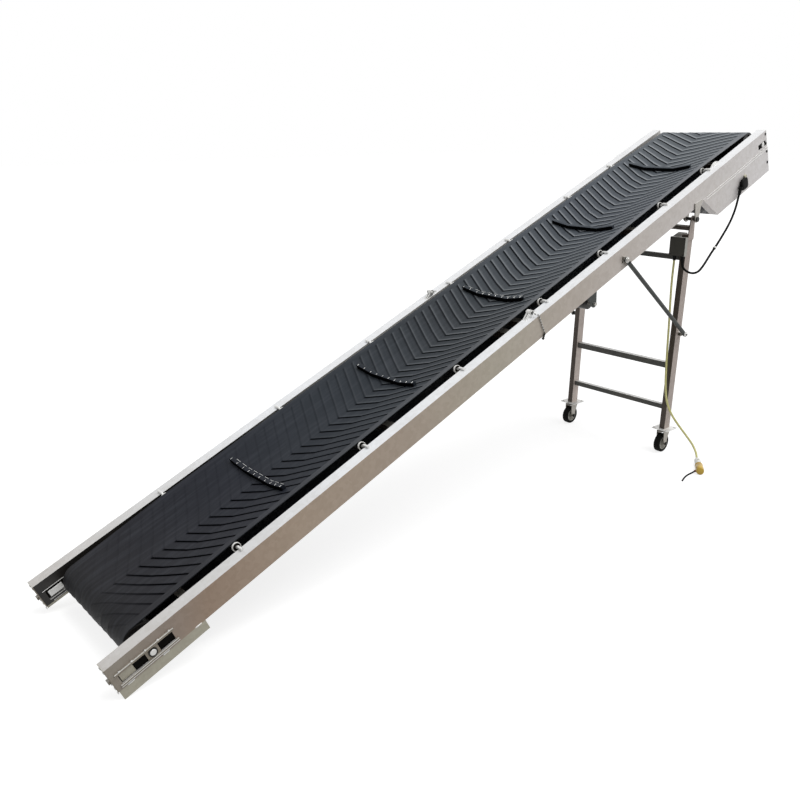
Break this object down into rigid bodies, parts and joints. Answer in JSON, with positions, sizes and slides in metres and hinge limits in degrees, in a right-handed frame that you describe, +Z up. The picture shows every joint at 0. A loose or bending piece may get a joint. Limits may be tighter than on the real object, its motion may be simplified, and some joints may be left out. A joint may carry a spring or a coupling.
{
  "type": "mobile belt conveyor",
  "caption": "Inclined folding belt conveyor with a troughed, cleated belt between two tube side beams, standing on tail feet and a castered leg frame with struts.",
  "frame": {"origin": "on the floor, below the middle of the box round the conveyor without its cord", "axes": "+X from the tail end to the head end, +Y to the left, +Z up"},
  "size_m": [3.8306, 0.9992, 1.645],
  "materials": {
    "galvanised_steel": "hot-dip galvanised, matt",
    "leg_steel": "galvanised, dull",
    "bright_steel": "zinc plated",
    "drum_steel": "dark, worn",
    "belt_rubber": "matt with raised chevrons",
    "roller_plastic": "plain",
    "tyre_rubber": "matt",
    "hub_plastic": "satin",
    "box_grey": "satin",
    "black_cable": "matt",
    "yellow_cord": "satin",
    "yellow_plastic": "gloss",
    "black_plastic": "satin"
  },
  "bodies": {
    "frame": {"beam_head_left": "galvanised_steel", "beam_head_right": "galvanised_steel", "beam_lug": "bright_steel", "beam_tail_left": "galvanised_steel", "beam_tail_right": "galvanised_steel", "conveyor_belt": "belt_rubber", "cross_members": "galvanised_steel", "fold_hinges": "bright_steel", "head_drum": "drum_steel", "head_end_plates": "galvanised_steel", "head_guard": "galvanised_steel", "leg_hinge_bolts": "bright_steel", "leg_hinge_plates": "leg_steel", "lock_pin": "bright_steel", "return_hangers": "galvanised_steel", "return_rollers": "galvanised_steel", "return_shaft": "bright_steel", "strut_brackets": "galvanised_steel", "tail_drum": "drum_steel", "tail_end_plate_left": "galvanised_steel", "tail_end_plate_right": "galvanised_steel", "tail_foot_left": "galvanised_steel", "tail_foot_right": "galvanised_steel", "take_up_left": "galvanised_steel", "take_up_right": "galvanised_steel", "terminal_box": "black_plastic", "trough_rollers": "roller_plastic", "trough_shafts": "bright_steel"},
    "leg_frame": {"box_glands": "black_plastic", "caster_plates": "galvanised_steel", "control_box": "box_grey", "control_box_lid": "box_grey", "cord_connector": "yellow_plastic", "leg_cross_bars": "leg_steel", "leg_ears": "leg_steel", "leg_left": "leg_steel", "leg_right": "leg_steel", "leg_top_tube": "leg_steel", "motor_cable": "black_cable", "power_cord": "yellow_cord", "strut_lugs": "galvanised_steel", "tail_wire": "black_cable", "wire_end": "black_cable"},
    "strut_left": {"strut_left": "leg_steel"},
    "strut_right": {"strut_right": "leg_steel"},
    "caster_left": {"caster_fork_left": "galvanised_steel"},
    "caster_wheel_left": {"caster_hub_left": "hub_plastic", "caster_tyre_left": "tyre_rubber"},
    "caster_right": {"caster_fork_right": "galvanised_steel"},
    "caster_wheel_right": {"caster_hub_right": "hub_plastic", "caster_tyre_right": "tyre_rubber"}
  },
  "joints": [
    {"name": "leg_fold", "type": "hinge", "parent": "frame", "child": "leg_frame", "pos_m": [1.21433, 0, 1.22793], "axis": [0, 1, 0], "range_deg": [0, 50]},
    {"name": "strut_swing_left", "type": "hinge", "parent": "frame", "child": "strut_left", "pos_m": [0.6204, 0.352, 1.09059], "axis": [0, 1, 0], "range_deg": [0, 50]},
    {"name": "strut_swing_right", "type": "hinge", "parent": "frame", "child": "strut_right", "pos_m": [0.6204, -0.352, 1.09059], "axis": [0, 1, 0], "range_deg": [0, 50]},
    {"name": "caster_swivel_left", "type": "hinge", "parent": "leg_frame", "child": "caster_left", "pos_m": [1.18034, 0.3043, 0.1], "axis": [0, 0, 1], "continuous": true},
    {"name": "caster_roll_left", "type": "hinge", "parent": "caster_left", "child": "caster_wheel_left", "pos_m": [1.16234, 0.3043, 0.05], "axis": [0, 1, 0], "continuous": true},
    {"name": "caster_swivel_right", "type": "hinge", "parent": "leg_frame", "child": "caster_right", "pos_m": [1.18034, -0.3043, 0.1], "axis": [0, 0, 1], "continuous": true},
    {"name": "caster_roll_right", "type": "hinge", "parent": "caster_right", "child": "caster_wheel_right", "pos_m": [1.16234, -0.3043, 0.05], "axis": [0, 1, 0], "continuous": true}
  ]
}
